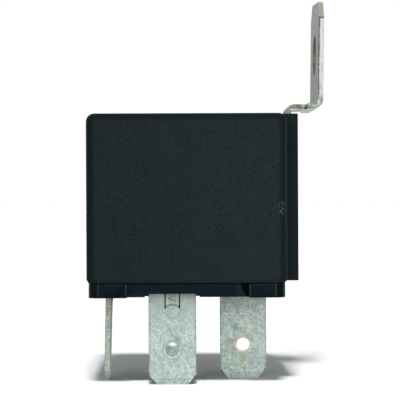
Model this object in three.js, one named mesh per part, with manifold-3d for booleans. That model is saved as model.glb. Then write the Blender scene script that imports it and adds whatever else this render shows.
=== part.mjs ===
// Plug-in relay with four flat blades and a sheet-metal fixing tab, as a three.js scene graph.
// Millimetres, +Z up. The origin is the centre of the base's underside, where the relay seats
// on its socket: the blades point down, the tab stands up on the +X side, and -Y is the front.
import * as THREE from "three";
import { mergeVertices } from "three/addons/utils/BufferGeometryUtils.js";
import Module from "manifold-3d";

const wasm = await Module();
wasm.setup();

// ---------------------------------------------------------------- driving dimensions
const GAP = 0.05; // clearance between pieces that rest on each other

const COVER = { width: 26.2, bottom: 1.95, top: 24.05, wall: 1.1, corner: 1.2, edge: 1.1 };
const POCKET = { outer: 14.8, halfWidth: 9, bottom: 2.05, top: 24.1, floor: 4.6, corner: 0.6 };
const BASE = { width: 25.7, flange: 1.85, floor: 3.6, corner: 1.5, plug: 23.7 };
const RECESS = { left: -7.85, right: 8.1, depth: 0.8, lift: 0.15 };

const BLADE = { width: 6.3, thick: 0.8, length: 11.65, hole: 1.8, holeAboveTip: 4.6 };
const TIP = { cornerWide: 1.15, cornerHigh: 1.3, bevelHigh: 0.75, bevelDeep: 0.18 };
const LANCE = { width: 1.7, side: 0.2, bottom: -1.85, top: 1.3, lean: 0.62 };
const PLACE = { t87: -10.55, coilTerminals: -1.93, t30: 7.72, coilTerminalY: 8.4, spare: -2.3 };

const BRACKET = {
  thick: 0.72, width: 14.2, tongueX: 13.85, tongueWidth: 7.4, tongueBottom: 5, shelfZ: 25.25, plateX: 17.92,
  topFront: 39.25, topRear: 39.75, corner: 2.2,
  lean: THREE.MathUtils.degToRad(0.9), innerBend: 0.5, hole: 5.5, holeZ: 32.45,
  neckX: 16.3, notchWide: 0.8, notchDeep: 0.7,
};

const COIL = { x: 1.4, flange: 12.8, bottom: 6.05, top: 17.15, cheek: 0.9, barrel: 3.6, bore: 2.8 };
const WINDING_RADIUS = 6.05;
const CORE = { radius: 2.7, tail: 2.2, shoe: 4.75, shoeBottom: 17.2, face: 18.4 };
const YOKE = { thick: 1.5, halfWidth: 5.5, left: -4.6, outer: 9.8, bottom: 4.5, top: 18.4, bend: 0.5 };
const ARMATURE = { left: -4.2, right: 9.4, halfWidth: 5, thick: 1.4, rise: 0.05 };
const OPEN_ANGLE = THREE.MathUtils.degToRad(3.5);
const SPRING = { thick: 0.3, halfWidth: 4, tip: -10, tipHalfWidth: 2.2, legBottom: 10.2, bend: 0.3 };
const CONTACT = { x: -8.3, radius: 1.4, head: 0.9, shank: 0.7, tail: 1.1, tailHigh: 0.35 };
const TAB_87 = { z: 17.5, right: -6.6, halfWidth: 2.5 };
const STOP = { left: -5.5, right: -4.7, inner: 2.6, leg: 0.8, under: 21.12, over: 22 };
const POST = { x: -3.9, width: 1.2, top: 9.6, shoulder: 4.5 };
const WIRE = { radius: 0.15, turns: 3, wrapRadius: 0.93, wrapBottom: 7.2, wrapPitch: 0.42 };
const RESISTOR = { x: -7.4, z: 5.8, length: 6.2, radius: 1.05, cap: 1.2, lead: 0.28 };

const PIVOT = new THREE.Vector3(ARMATURE.right, 0, YOKE.top + 0.02); // the yoke's top edge
const TIP_Z = -BLADE.length;
const ARMATURE_TOP = YOKE.top + ARMATURE.rise + ARMATURE.thick; // with the contacts closed
const SPRING_UNDER = ARMATURE_TOP + 0.02;

// ---------------------------------------------------------------- materials
const finish = (color, roughness, metalness) =>
  new THREE.MeshStandardMaterial({ color, roughness, metalness });
const FINISH = {
  cover: finish(0x222c30, 0.6, 0),
  base: finish(0x161e22, 0.5, 0),
  tinned: finish(0xb4c0bb, 0.45, 0.9),
  zinc: finish(0xb9beb6, 0.4, 0.9),
  iron: finish(0x9a9c9a, 0.4, 0.9),
  nylon: finish(0xd8d2c0, 0.5, 0),
  copper: finish(0xa4542a, 0.4, 0.8),
  springCopper: finish(0xb87a46, 0.35, 0.9),
  silver: finish(0xd0cfc8, 0.3, 1),
  ceramic: finish(0x8fa9b4, 0.6, 0),
};

// ---------------------------------------------------------------- shape tools
const toSolid = (geometry) => {
  const bare = new THREE.BufferGeometry();
  bare.setAttribute("position", geometry.getAttribute("position"));
  if (geometry.index) bare.setIndex(geometry.index);
  const merged = mergeVertices(bare, 1e-4);
  return new wasm.Manifold(
    new wasm.Mesh({
      numProp: 3,
      vertProperties: merged.attributes.position.array,
      triVerts: new Uint32Array(merged.index.array),
    }),
  );
};

const toGeometry = (solid) => {
  const mesh = solid.getMesh();
  const geometry = new THREE.BufferGeometry();
  geometry.setAttribute("position", new THREE.BufferAttribute(mesh.vertProperties, 3));
  geometry.setIndex(new THREE.BufferAttribute(mesh.triVerts, 1));
  geometry.computeVertexNormals();
  return geometry;
};

const combine = (how) => (first, ...others) =>
  toGeometry(others.reduce((solid, other) => solid[how](toSolid(other)), toSolid(first)));
const join = combine("add");
const cut = combine("subtract");
const common = combine("intersect");

const box = (x0, x1, y0, y1, z0, z1) =>
  new THREE.BoxGeometry(x1 - x0, y1 - y0, z1 - z0).translate((x0 + x1) / 2, (y0 + y1) / 2, (z0 + z1) / 2);

// A cylinder from z0 to z1 on a vertical axis.
const post = (radius, x, y, z0, z1, sides = 32) =>
  new THREE.CylinderGeometry(radius, radius, z1 - z0, sides)
    .rotateX(Math.PI / 2)
    .translate(x, y, (z0 + z1) / 2);

// A cylinder from x0 to x1 on an axis along X.
const pinAlongX = (radius, y, z, x0, x1, sides = 24) =>
  new THREE.CylinderGeometry(radius, radius, x1 - x0, sides)
    .rotateZ(Math.PI / 2)
    .translate((x0 + x1) / 2, y, z);

const roundedRect = (width, depth, radius) => {
  const [x, y] = [width / 2, depth / 2];
  const shape = new THREE.Shape();
  shape.absarc(x - radius, y - radius, radius, 0, Math.PI / 2);
  shape.absarc(-x + radius, y - radius, radius, Math.PI / 2, Math.PI);
  shape.absarc(-x + radius, -y + radius, radius, Math.PI, 1.5 * Math.PI);
  shape.absarc(x - radius, -y + radius, radius, 1.5 * Math.PI, 2 * Math.PI);
  return shape;
};

const polygon = (...points) => new THREE.Shape(points.map(([u, v]) => new THREE.Vector2(u, v)));

// Each of these extrudes a shape: drawn in XY and thick in Z, drawn in XZ and thick in Y,
// or drawn in YZ and thick in X.
const slab = (shape, z0, z1, curveSegments = 3) =>
  new THREE.ExtrudeGeometry(shape, { depth: z1 - z0, bevelEnabled: false, curveSegments }).translate(0, 0, z0);
const sheetXZ = (shape, y0, y1, curveSegments = 3) =>
  slab(shape, 0, y1 - y0, curveSegments).rotateX(Math.PI / 2).translate(0, y1, 0);
const sheetYZ = (shape, x0, x1, curveSegments = 3) =>
  slab(shape, 0, x1 - x0, curveSegments).rotateX(Math.PI / 2).rotateZ(Math.PI / 2).translate(x0, 0, 0);

// The outline of a bent strip of sheet metal: a centreline of straight runs, with round bends.
const bentStrip = (centreline, thick, innerBend) => {
  const points = centreline.map(([u, v]) => new THREE.Vector2(u, v));
  const half = thick / 2;
  const normalOf = (a, b) => new THREE.Vector2(a.y - b.y, b.x - a.x).normalize();
  const bends = points.slice(1, -1).map((corner, i) => {
    const before = corner.clone().sub(points[i]).normalize();
    const after = points[i + 2].clone().sub(corner).normalize();
    const turn = Math.atan2(before.cross(after), before.dot(after));
    const radius = innerBend + half;
    const start = corner.clone().addScaledVector(before, -radius * Math.tan(Math.abs(turn) / 2));
    const normal = normalOf(points[i], corner).multiplyScalar(Math.sign(turn));
    return { centre: start.addScaledVector(normal, radius), turn, from: normal.angle() + Math.PI };
  });
  const shape = new THREE.Shape();
  const firstNormal = normalOf(points[0], points[1]);
  const lastNormal = normalOf(points.at(-2), points.at(-1));
  const startLeft = points[0].clone().addScaledVector(firstNormal, half);
  shape.moveTo(startLeft.x, startLeft.y);
  for (const { centre, turn, from } of bends) {
    const radius = innerBend + half - Math.sign(turn) * half;
    shape.absarc(centre.x, centre.y, radius, from, from + turn, turn < 0);
  }
  for (const side of [half, -half]) {
    const end = points.at(-1).clone().addScaledVector(lastNormal, side);
    shape.lineTo(end.x, end.y);
  }
  for (const { centre, turn, from } of [...bends].reverse()) {
    const radius = innerBend + half + Math.sign(turn) * half;
    shape.absarc(centre.x, centre.y, radius, from + turn, from, turn > 0);
  }
  const startRight = points[0].clone().addScaledVector(firstNormal, -half);
  shape.lineTo(startRight.x, startRight.y);
  return shape;
};

// A round wire of the given radius along a smooth curve through the points.
const wire = (points, radius, steps) => {
  const section = new THREE.Shape().absarc(0, 0, radius, 0, 2 * Math.PI);
  const extrudePath = new THREE.CatmullRomCurve3(points);
  return new THREE.ExtrudeGeometry(section, { steps, extrudePath, curveSegments: 4, bevelEnabled: false });
};

const turned = (profile, x, y, sides = 32) =>
  new THREE.LatheGeometry(profile.map(([r, z]) => new THREE.Vector2(r, z)), sides)
    .rotateX(Math.PI / 2)
    .translate(x, y, 0);

const named = (name, geometry, material) => {
  const mesh = new THREE.Mesh(geometry, material);
  mesh.name = name;
  return mesh;
};

// ---------------------------------------------------------------- housing
function makeCover() {
  const { width, bottom, top, wall, corner, edge } = COVER;
  const roundedTop = new THREE.ExtrudeGeometry(roundedRect(width, width, corner), {
    depth: top - edge, bevelThickness: edge, bevelSize: edge - 0.02, bevelOffset: 0.02 - edge,
    bevelSegments: 7, curveSegments: 7,
  });
  const chamferHigh = 0.4;
  const chamferWide = 0.25;
  const chamferedBottom = new THREE.ExtrudeGeometry(roundedRect(width, width, corner), {
    depth: top, bevelThickness: chamferHigh, bevelSize: chamferWide, bevelOffset: -chamferWide,
    bevelSegments: 1, curveSegments: 7,
  }).translate(0, 0, bottom + chamferHigh);
  const shell = common(roundedTop, chamferedBottom);

  const inner = width - 2 * wall;
  const cavity = slab(roundedRect(inner, inner, 0.5), bottom - 1, top - wall);
  const halfWidth = POCKET.halfWidth;
  const pocketRadius = POCKET.corner;
  const pocketWide = 2 * (POCKET.outer - 11);
  const sleeve = common(
    slab(roundedRect(pocketWide, 2 * halfWidth, pocketRadius), POCKET.bottom, POCKET.top, 6).translate(11, 0, 0),
    box(width / 2 - 0.6, POCKET.outer + 1, -halfWidth - 1, halfWidth + 1, POCKET.bottom, POCKET.top),
  );
  const tongueHalf = BRACKET.thick / 2 + 0.06;
  const sideHalf = BRACKET.tongueWidth / 2 + 0.15;
  const slot = box(
    BRACKET.tongueX - tongueHalf, BRACKET.tongueX + tongueHalf, -sideHalf, sideHalf, POCKET.floor, POCKET.top + 1,
  );
  const latchWindow = box(BRACKET.tongueX, POCKET.outer + 1, -2.1, 2.1, 9, 12.6);
  const catchSeats = [-1, 1].flatMap((side) =>
    [-6, 6].map((x) => box(x - 2, x + 2, side * (inner / 2) - 0.35, side * (inner / 2) + 0.35, 2.55, 3.45)),
  );
  return cut(join(shell, sleeve), cavity, slot, latchWindow, ...catchSeats);
}

function makeBase() {
  const { width, flange, floor, corner, plug } = BASE;
  const body = join(
    slab(roundedRect(width, width, corner), 0, flange, 9),
    slab(roundedRect(plug, plug, 0.5), flange - 0.5, floor),
  );
  const catchWedge = sheetYZ(polygon([0, 0], [0, 0.7], [0.3, 0.15], [0.3, 0]), -1.8, 1.8);
  const catches = [-6, 6].flatMap((x) => [
    catchWedge.clone().translate(x, plug / 2, 2.65),
    catchWedge.clone().rotateZ(Math.PI).translate(x, -plug / 2, 2.65),
  ]);

  // Front and back carry a shallow recess with its lower edge a little raised, and a slanted
  // vent at its right-hand end that runs deeper into the flange.
  const front = -width / 2;
  const recess = box(RECESS.left, RECESS.right, front - 1, front + RECESS.depth, -1, flange + 0.01);
  const lifted = box(RECESS.left, RECESS.right, front - 1, front + 2.2, -1, RECESS.lift);
  const vent = sheetXZ(
    polygon([7, flange], [7.15, 1], [7.8, 0.2], [RECESS.right, 0.1], [RECESS.right, flange]),
    front - 1, front + 2.6,
  );
  const sideRecess = [recess, lifted, vent];
  const backRecess = sideRecess.map((piece) => piece.clone().rotateZ(Math.PI));
  const leftRecess = box(front - 1, front + RECESS.depth, -4.2, 4.2, -1, flange + 0.01);

  const slotLong = BLADE.width / 2 + 0.1;
  const slotThin = BLADE.thick / 2 + 0.1;
  const lanceHalf = LANCE.width / 2 + 0.2;
  const lanceReach = LANCE.lean + BLADE.thick / 2 + 0.15;
  const through = [-1, floor + 1];
  const slots = [
    box(PLACE.t87 - slotThin, PLACE.t87 + slotThin, -slotLong, slotLong, ...through),
    box(PLACE.t87, PLACE.t87 + lanceReach, -lanceHalf, lanceHalf, ...through),
    box(PLACE.t30 - slotLong, PLACE.t30 + slotLong, -slotThin, slotThin, ...through),
    box(PLACE.spare - 0.55, PLACE.spare + 0.55, -slotLong, slotLong, -1, 1.2),
  ];
  for (const side of [-1, 1]) {
    const y = side * PLACE.coilTerminalY;
    const x = PLACE.coilTerminals;
    const inwards = [y, y - side * lanceReach].sort((a, b) => a - b);
    slots.push(
      box(x - slotLong, x + slotLong, y - slotThin, y + slotThin, ...through),
      box(x - lanceHalf, x + lanceHalf, ...inwards, ...through),
    );
  }

  // Each blade has a flared lead-in below. The coil blades' lead-ins run out through the wall.
  const flare = (half) => polygon([-half - 0.55, -0.3], [half + 0.55, -0.3], [half + 0.15, 0.5], [-half - 0.15, 0.5]);
  const flares = [
    sheetYZ(flare(slotLong), PLACE.t87 - 0.75, PLACE.t87 + 0.75),
    sheetXZ(flare(slotLong), -0.75, 0.75).translate(PLACE.t30, 0, 0),
    sheetXZ(flare(slotLong), front - 1, -PLACE.coilTerminalY + 0.5).translate(PLACE.coilTerminals, 0, 0),
    sheetXZ(flare(slotLong), PLACE.coilTerminalY - 0.5, 1 - front).translate(PLACE.coilTerminals, 0, 0),
  ];
  const rivetSeat = post(1.7, 6.2, 3.2, floor - 0.6, floor + 1);
  return cut(
    join(body, ...catches), ...sideRecess, ...backRecess, leftRecess, ...slots, ...flares, rivetSeat,
  );
}

function makeBracket() {
  const { thick, width, tongueX, tongueBottom, shelfZ, plateX, lean, innerBend } = BRACKET;
  const top = BRACKET.topRear + 1;
  const topX = plateX + (top - shelfZ) * Math.tan(lean);
  const profile = bentStrip(
    [[tongueX, tongueBottom], [tongueX, shelfZ], [plateX, shelfZ], [topX, top]], thick, innerBend,
  );
  const half = width / 2;
  const { topFront, topRear, corner } = BRACKET;
  const outline = polygon(
    [-half, 0], [half, 0], [half, topRear - corner], [half - corner, topRear],
    [corner - half, topFront], [-half, topFront - corner],
  );
  const strip = common(sheetXZ(profile, -half, half, 8), sheetYZ(outline, 12, 20));
  const hole = pinAlongX(BRACKET.hole / 2, 0, BRACKET.holeZ, plateX - 2, plateX + 3, 40);
  // The sheet narrows to a tongue, with a small relief notch in each inner corner.
  const notches = [-1, 1].map((side) => {
    const half = BRACKET.notchWide / 2;
    const span = (inner) => [side * inner, side * (width / 2 + 1)].sort((a, b) => a - b);
    const notchX = BRACKET.neckX - half;
    const notchY = BRACKET.tongueWidth / 2 - BRACKET.notchDeep + half;
    return join(
      box(tongueX - 3, BRACKET.neckX, ...span(BRACKET.tongueWidth / 2), 0, shelfZ + 1),
      box(notchX - half, BRACKET.neckX, ...span(notchY), shelfZ - 1, shelfZ + 1),
      post(half, notchX, side * notchY, shelfZ - 1, shelfZ + 1, 16),
    );
  });
  const latchEdge = tongueX + thick / 2;
  const latch = sheetXZ(
    polygon([latchEdge - 0.1, 9.3], [latchEdge, 9.3], [latchEdge + 0.5, 12.3], [latchEdge - 0.1, 12.3]), -1.6, 1.6,
  );
  return join(cut(strip, hole, ...notches), latch);
}

// ---------------------------------------------------------------- terminals
// One blade below the base, drawn in XZ about x = 0 and lying in the plane y = 0. Its root runs
// a hair thinner up through the base, so that the blade's two faces end below the base.
function makeBlade(rootTop) {
  const half = BLADE.width / 2;
  const outline = polygon(
    [-half, -0.05], [-half, TIP_Z + TIP.cornerHigh], [TIP.cornerWide - half, TIP_Z],
    [half - TIP.cornerWide, TIP_Z], [half, TIP_Z + TIP.cornerHigh], [half, -0.05],
  );
  const hole = new THREE.Path().absarc(0, TIP_Z + BLADE.holeAboveTip, BLADE.hole / 2, 0, 2 * Math.PI, true);
  outline.holes.push(hole);
  const face = BLADE.thick / 2;
  const wedge = polygon(
    [face - TIP.bevelDeep, TIP_Z - 0.1], [face + 0.3, TIP_Z - 0.1],
    [face + 0.3, TIP_Z + TIP.bevelHigh + 0.1], [face, TIP_Z + TIP.bevelHigh],
  );
  const bevel = sheetYZ(wedge, -half - 1, half + 1);
  const root = box(-half + 0.02, half - 0.02, 0.02 - face, face - 0.02, -0.5, rootTop);
  return join(cut(sheetXZ(outline, -face, face, 16), bevel, bevel.clone().rotateZ(Math.PI)), root);
}

// The lock tongue is cut out of the blade on three sides and leans out of it towards +Y.
function addLance(blade) {
  const windowHalf = LANCE.width / 2 + LANCE.side;
  const window = box(-windowHalf, windowHalf, -1, 1, LANCE.bottom, LANCE.top + 0.3);
  const face = BLADE.thick / 2;
  const foot = LANCE.bottom - 0.3;
  const tongue = sheetYZ(
    polygon([-face, foot], [face, foot], [face, LANCE.bottom],
      [face + LANCE.lean, LANCE.top], [LANCE.lean - face, LANCE.top], [-face, LANCE.bottom]),
    -LANCE.width / 2, LANCE.width / 2,
  );
  return join(cut(blade, window), tongue);
}

function makeCoilTerminal() {
  const half = BLADE.thick / 2 - 0.02;
  const postLeft = POST.x - PLACE.coilTerminals - POST.width / 2;
  const riser = box(postLeft, postLeft + POST.width, -half, half, POST.shoulder - 1, POST.top);
  return join(addLance(makeBlade(POST.shoulder)), riser);
}

function makeTerminal87() {
  const rootTop = 4.4;
  const blade = addLance(makeBlade(rootTop)).rotateZ(-Math.PI / 2).translate(PLACE.t87, 0, 0);
  const strip = bentStrip(
    [[PLACE.t87, rootTop - 1], [PLACE.t87, TAB_87.z], [TAB_87.right, TAB_87.z]], BLADE.thick - 0.04, 0.4,
  );
  const arm = sheetXZ(strip, -TAB_87.halfWidth, TAB_87.halfWidth);
  return cut(join(blade, arm), post(CONTACT.shank + GAP, CONTACT.x, 0, TAB_87.z - 2, TAB_87.z + 2));
}

function makeTerminal30() {
  const footTop = YOKE.bottom - GAP;
  const footMiddle = footTop - BLADE.thick / 2 + 0.02;
  const blade = makeBlade(2).translate(PLACE.t30, 0, 0);
  const half = BLADE.width / 2 - 0.02;
  const profile = bentStrip([[0, 1.5], [0, footMiddle], [5.2, footMiddle]], BLADE.thick - 0.04, 0.3);
  const foot = sheetYZ(profile, PLACE.t30 - half, PLACE.t30 + half);
  return cut(join(blade, foot), post(0.85, 6.2, 3.2, 2, 6));
}

// ---------------------------------------------------------------- magnet system
function makeYoke() {
  const middle = YOKE.bottom + YOKE.thick / 2;
  const legX = YOKE.outer - YOKE.thick / 2;
  const profile = bentStrip([[YOKE.left, middle], [legX, middle], [legX, YOKE.top]], YOKE.thick, YOKE.bend);
  const plate = sheetXZ(profile, -YOKE.halfWidth, YOKE.halfWidth, 4);
  const tailHole = post(CORE.tail + GAP, COIL.x, 0, YOKE.bottom - 1, YOKE.bottom + 3);
  const terminalHole = post(0.85, 6.2, 3.2, YOKE.bottom - 1, YOKE.bottom + 3, 24);
  const springHoles = [-2.2, 2.2].map((y) => pinAlongX(0.75, y, 12.6, legX - 2, legX + 2));
  return cut(plate, tailHole, terminalHole, ...springHoles);
}

function makeCore() {
  const shoulder = YOKE.bottom + YOKE.thick + GAP;
  const headTop = YOKE.bottom - GAP;
  return turned(
    [[0, 3.85], [2.4, 3.85], [2.75, 4.1], [2.75, headTop], [CORE.tail, headTop], [CORE.tail, shoulder],
      [CORE.radius, shoulder], [CORE.radius, CORE.shoeBottom], [CORE.shoe, CORE.shoeBottom],
      [CORE.shoe, CORE.face - 0.2], [CORE.shoe - 0.2, CORE.face], [0, CORE.face]],
    COIL.x, 0, 40,
  );
}

function makeBobbin() {
  const cheek = (z0) =>
    slab(roundedRect(COIL.flange, COIL.flange, 1.5), z0, z0 + COIL.cheek).translate(COIL.x, 0, 0);
  const barrel = post(COIL.barrel, COIL.x, 0, COIL.bottom, COIL.top);
  const leadSlots = [-1, 1].map((side) =>
    box(COIL.x - 5.2, COIL.x - 4.4, Math.min(side * 4, side * 7), Math.max(side * 4, side * 7), 5, 7.5),
  );
  const spool = join(barrel, cheek(COIL.bottom), cheek(COIL.top - COIL.cheek));
  return cut(spool, post(COIL.bore, COIL.x, 0, COIL.bottom - 1, COIL.top + 1), ...leadSlots);
}

function makeWinding() {
  const [low, high] = [COIL.bottom + COIL.cheek + GAP, COIL.top - COIL.cheek - GAP];
  const inner = COIL.barrel + GAP;
  return turned(
    [[inner, low], [WINDING_RADIUS - 0.15, low], [WINDING_RADIUS, low + 0.3], [WINDING_RADIUS, high - 0.3],
      [WINDING_RADIUS - 0.15, high], [inner, high], [inner, low]],
    COIL.x, 0, 48,
  );
}

// From the winding's lower edge out to a coil terminal's post, then round it in close turns.
function makeCoilLead(side) {
  const y = side * PLACE.coilTerminalY;
  const run = [
    [COIL.x - 3.2, side * (WINDING_RADIUS - 0.55), 7.6], [COIL.x - 3.9, side * 6.7, 7.15],
    [POST.x + WIRE.wrapRadius + 0.15, y - side * 0.9, WIRE.wrapBottom - 0.08],
  ].map((p) => new THREE.Vector3(...p));
  const perTurn = 12;
  for (let i = 0; i <= WIRE.turns * perTurn; i += 1) {
    const angle = side * (i / perTurn) * 2 * Math.PI;
    run.push(new THREE.Vector3(
      POST.x + WIRE.wrapRadius * Math.cos(angle),
      y + WIRE.wrapRadius * Math.sin(angle),
      WIRE.wrapBottom + WIRE.wrapPitch * (i / perTurn),
    ));
  }
  return wire(run, WIRE.radius, 60);
}

// ---------------------------------------------------------------- spark suppression
function makeResistor() {
  const { length, radius, cap } = RESISTOR;
  const half = length / 2;
  const side = (sign) => [
    [radius, sign * (half - 1.5)], [cap, sign * (half - 1.1)], [cap, sign * (half - 0.3)],
    [cap - 0.3, sign * half], [0, sign * half],
  ];
  const profile = [...side(-1).reverse(), ...side(1)].map(([r, y]) => new THREE.Vector2(r, y));
  return new THREE.LatheGeometry(profile, 24).translate(RESISTOR.x, 0, RESISTOR.z);
}

function makeResistorLead(side) {
  const { x, z, length, lead } = RESISTOR;
  const y = side * PLACE.coilTerminalY;
  const end = POST.x - POST.width / 2 - GAP;
  const route = [
    [x, side * (length / 2 + GAP), z], [x, side * (length / 2 + 1.5), z], [x + 0.1, side * 6.6, z],
    [x + 1, y - side * 0.25, z], [x + 2.1, y, z], [end, y, z],
  ];
  return wire(route.map((p) => new THREE.Vector3(...p)), lead, 20);
}

// ---------------------------------------------------------------- contacts and spring
function makeFixedContact() {
  const [under, over] = [TAB_87.z - BLADE.thick / 2 - GAP, TAB_87.z + BLADE.thick / 2 + 0.02];
  const { radius, shank, tail, tailHigh } = CONTACT;
  const top = over + 0.98;
  return turned(
    [[0, under - tailHigh], [tail, under - tailHigh], [tail, under], [shank, under], [shank, over],
      [radius, over], [radius, top - 0.25], [radius - 0.45, top - 0.05], [0, top]],
    CONTACT.x, 0,
  );
}

function makeMovingContact() {
  const [under, over] = [SPRING_UNDER - 0.02, SPRING_UNDER + SPRING.thick + 0.02];
  const { radius, head, shank, tail, tailHigh } = CONTACT;
  const low = under - head;
  return turned(
    [[0, low], [radius - 0.45, low + 0.05], [radius, low + 0.25], [radius, under], [shank, under],
      [shank, over], [tail, over], [tail, over + tailHigh], [0, over + tailHigh]],
    CONTACT.x, 0,
  );
}

function makeArmature() {
  const { left, right, halfWidth, thick, rise } = ARMATURE;
  const low = YOKE.top + rise;
  const chamfer = 1.2;
  const outline = polygon(
    [left, chamfer - halfWidth], [left + chamfer, -halfWidth], [right, -halfWidth],
    [right, halfWidth], [left + chamfer, halfWidth], [left, halfWidth - chamfer],
  );
  const holes = [-2.4, 2.4].map((y) => post(0.65, 2.5, y, low - 1, low + thick + 1, 20));
  return cut(slab(outline, low, low + thick), ...holes);
}

// The leaf lies on the armature, bends over the hinge edge and runs down the back of the yoke.
// It is drawn with the contacts open, so its points are the closed ones turned about the pivot.
function makeContactSpring() {
  const middle = SPRING_UNDER + SPRING.thick / 2;
  const legX = YOKE.outer + 0.03 + SPRING.thick / 2;
  const opened = (x, z) => {
    const arm = new THREE.Vector2(x - PIVOT.x, z - PIVOT.z).rotateAround(new THREE.Vector2(), -OPEN_ANGLE);
    return [PIVOT.x + arm.x, PIVOT.z + arm.y];
  };
  const tip = opened(SPRING.tip, middle);
  const start = opened(ARMATURE.right, middle);
  const cornerZ = start[1] - (legX - start[0]) * Math.tan(OPEN_ANGLE);
  const profile = bentStrip([tip, [legX, cornerZ], [legX, SPRING.legBottom]], SPRING.thick, SPRING.bend);
  const leaf = sheetXZ(profile, -SPRING.halfWidth, SPRING.halfWidth, 4);
  const shoulder = ARMATURE.left + 1.3;
  const trims = [-1, 1].map((side) => {
    const [near, far] = [side * SPRING.tipHalfWidth, side * 6];
    const outline = side > 0
      ? polygon([SPRING.tip - 1, near], [shoulder - 1.6, near], [shoulder, far], [SPRING.tip - 1, far])
      : polygon([SPRING.tip - 1, far], [shoulder, far], [shoulder - 1.6, near], [SPRING.tip - 1, near]);
    return slab(outline, 18, 24);
  });
  const hingeWindow = box(7.6, 11, -1.9, 1.9, 17.4, 22);
  const contactHole = post(CONTACT.shank + GAP, 0, 0, -3, 3, 24);
  const rivetHoles = [-2.4, 2.4].map((y) => post(0.65, 0, y, -3, 3, 20));
  const tilt = (geometry, x) => {
    const [cx, cz] = opened(x, middle);
    return geometry.rotateY(OPEN_ANGLE).translate(cx, 0, cz);
  };
  const legHoles = [-2.2, 2.2].map((y) => pinAlongX(0.75, y, 12.6, legX - 1, legX + 1));
  return cut(
    leaf, ...trims, hingeWindow, tilt(contactHole, CONTACT.x),
    ...rivetHoles.map((hole) => tilt(hole, 2.5)), ...legHoles,
  );
}

function makeArmatureRivet(y) {
  const over = SPRING_UNDER + SPRING.thick + 0.02;
  return turned(
    [[0, YOKE.top + ARMATURE.rise + 0.1], [0.6, YOKE.top + ARMATURE.rise + 0.1], [0.6, over], [1.15, over],
      [1.15, over + 0.3], [0.75, over + 0.5], [0, over + 0.5]],
    2.5, y, 24,
  );
}

function makeSpringRivet(y) {
  const under = YOKE.outer + 0.03 + SPRING.thick + 0.02;
  const inner = YOKE.outer - YOKE.thick + 0.05;
  const profile = [[0, inner], [0.7, inner], [0.7, under], [1.3, under], [1.3, under + 0.3], [0.85, under + 0.5],
    [0, under + 0.5]];
  return turned(profile, 0, 0, 24).rotateY(Math.PI / 2).translate(0, y, 12.6);
}

function makeTerminalRivet() {
  const under = YOKE.bottom - BLADE.thick - 2 * GAP;
  return turned(
    [[0, under - 0.45], [1.1, under - 0.45], [1.5, under - 0.2], [1.5, under], [0.8, under],
      [0.8, YOKE.bottom + YOKE.thick], [0, YOKE.bottom + YOKE.thick]],
    6.2, 3.2, 24,
  );
}

// A goalpost that stands on the bobbin's upper cheek and stops the leaf as the armature lifts.
function makeArmatureStop() {
  const outer = STOP.inner + STOP.leg;
  const foot = COIL.top + GAP;
  const outline = polygon(
    [-outer, foot], [-STOP.inner, foot], [-STOP.inner, STOP.under], [STOP.inner, STOP.under],
    [STOP.inner, foot], [outer, foot], [outer, STOP.over], [-outer, STOP.over],
  );
  const bar = sheetYZ(outline, STOP.left, STOP.right);
  const toe = (side) =>
    box(STOP.right - 0.1, STOP.right + 1, Math.min(side * STOP.inner, side * outer),
      Math.max(side * STOP.inner, side * outer), foot, foot + 0.6);
  return join(bar, toe(-1), toe(1));
}

// ---------------------------------------------------------------- assembly
const relay = new THREE.Group();
relay.add(
  named("cover", makeCover(), FINISH.cover),
  named("base", makeBase(), FINISH.base),
  named("mounting_bracket", makeBracket(), FINISH.zinc),
  named("terminal_30", makeTerminal30(), FINISH.tinned),
  named("terminal_87", makeTerminal87(), FINISH.tinned),
);

const terminal85 = named("terminal_85", makeCoilTerminal().scale(1, -1, 1), FINISH.tinned);
terminal85.geometry.index.array.reverse();
terminal85.position.set(PLACE.coilTerminals, PLACE.coilTerminalY, 0);
const terminal86 = named("terminal_86", makeCoilTerminal(), FINISH.tinned);
terminal86.position.set(PLACE.coilTerminals, -PLACE.coilTerminalY, 0);
relay.add(terminal85, terminal86);

relay.add(
  named("yoke", makeYoke(), FINISH.iron),
  named("core", makeCore(), FINISH.iron),
  named("bobbin", makeBobbin(), FINISH.nylon),
  named("coil_winding", makeWinding(), FINISH.copper),
  named("coil_lead_85", makeCoilLead(1), FINISH.copper),
  named("coil_lead_86", makeCoilLead(-1), FINISH.copper),
  named("suppression_resistor", makeResistor(), FINISH.ceramic),
  named("resistor_lead_85", makeResistorLead(1), FINISH.tinned),
  named("resistor_lead_86", makeResistorLead(-1), FINISH.tinned),
  named("fixed_contact", makeFixedContact(), FINISH.silver),
  named("contact_spring", makeContactSpring(), FINISH.springCopper),
  named("spring_rivet_front", makeSpringRivet(-2.2), FINISH.iron),
  named("spring_rivet_rear", makeSpringRivet(2.2), FINISH.iron),
  named("terminal_rivet", makeTerminalRivet(), FINISH.iron),
  named("armature_stop", makeArmatureStop(), FINISH.zinc),
);

// The armature's pieces are made with the contacts closed and swung open about the pivot.
const armatureSwing = new THREE.Group();
armatureSwing.position.copy(PIVOT);
armatureSwing.rotation.y = OPEN_ANGLE;
const armaturePieces = [
  named("armature", makeArmature(), FINISH.iron),
  named("moving_contact", makeMovingContact(), FINISH.silver),
  named("armature_rivet_front", makeArmatureRivet(-2.4), FINISH.iron),
  named("armature_rivet_rear", makeArmatureRivet(2.4), FINISH.iron),
];
for (const piece of armaturePieces) {
  piece.position.copy(PIVOT).negate();
  armatureSwing.add(piece);
}
relay.add(armatureSwing);

export default relay;
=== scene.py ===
"""Plug-in relay: detailed pieces and finishes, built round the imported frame."""

import math
from functools import partial

import bmesh
import bpy
from mathutils import Matrix, Vector


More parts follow.
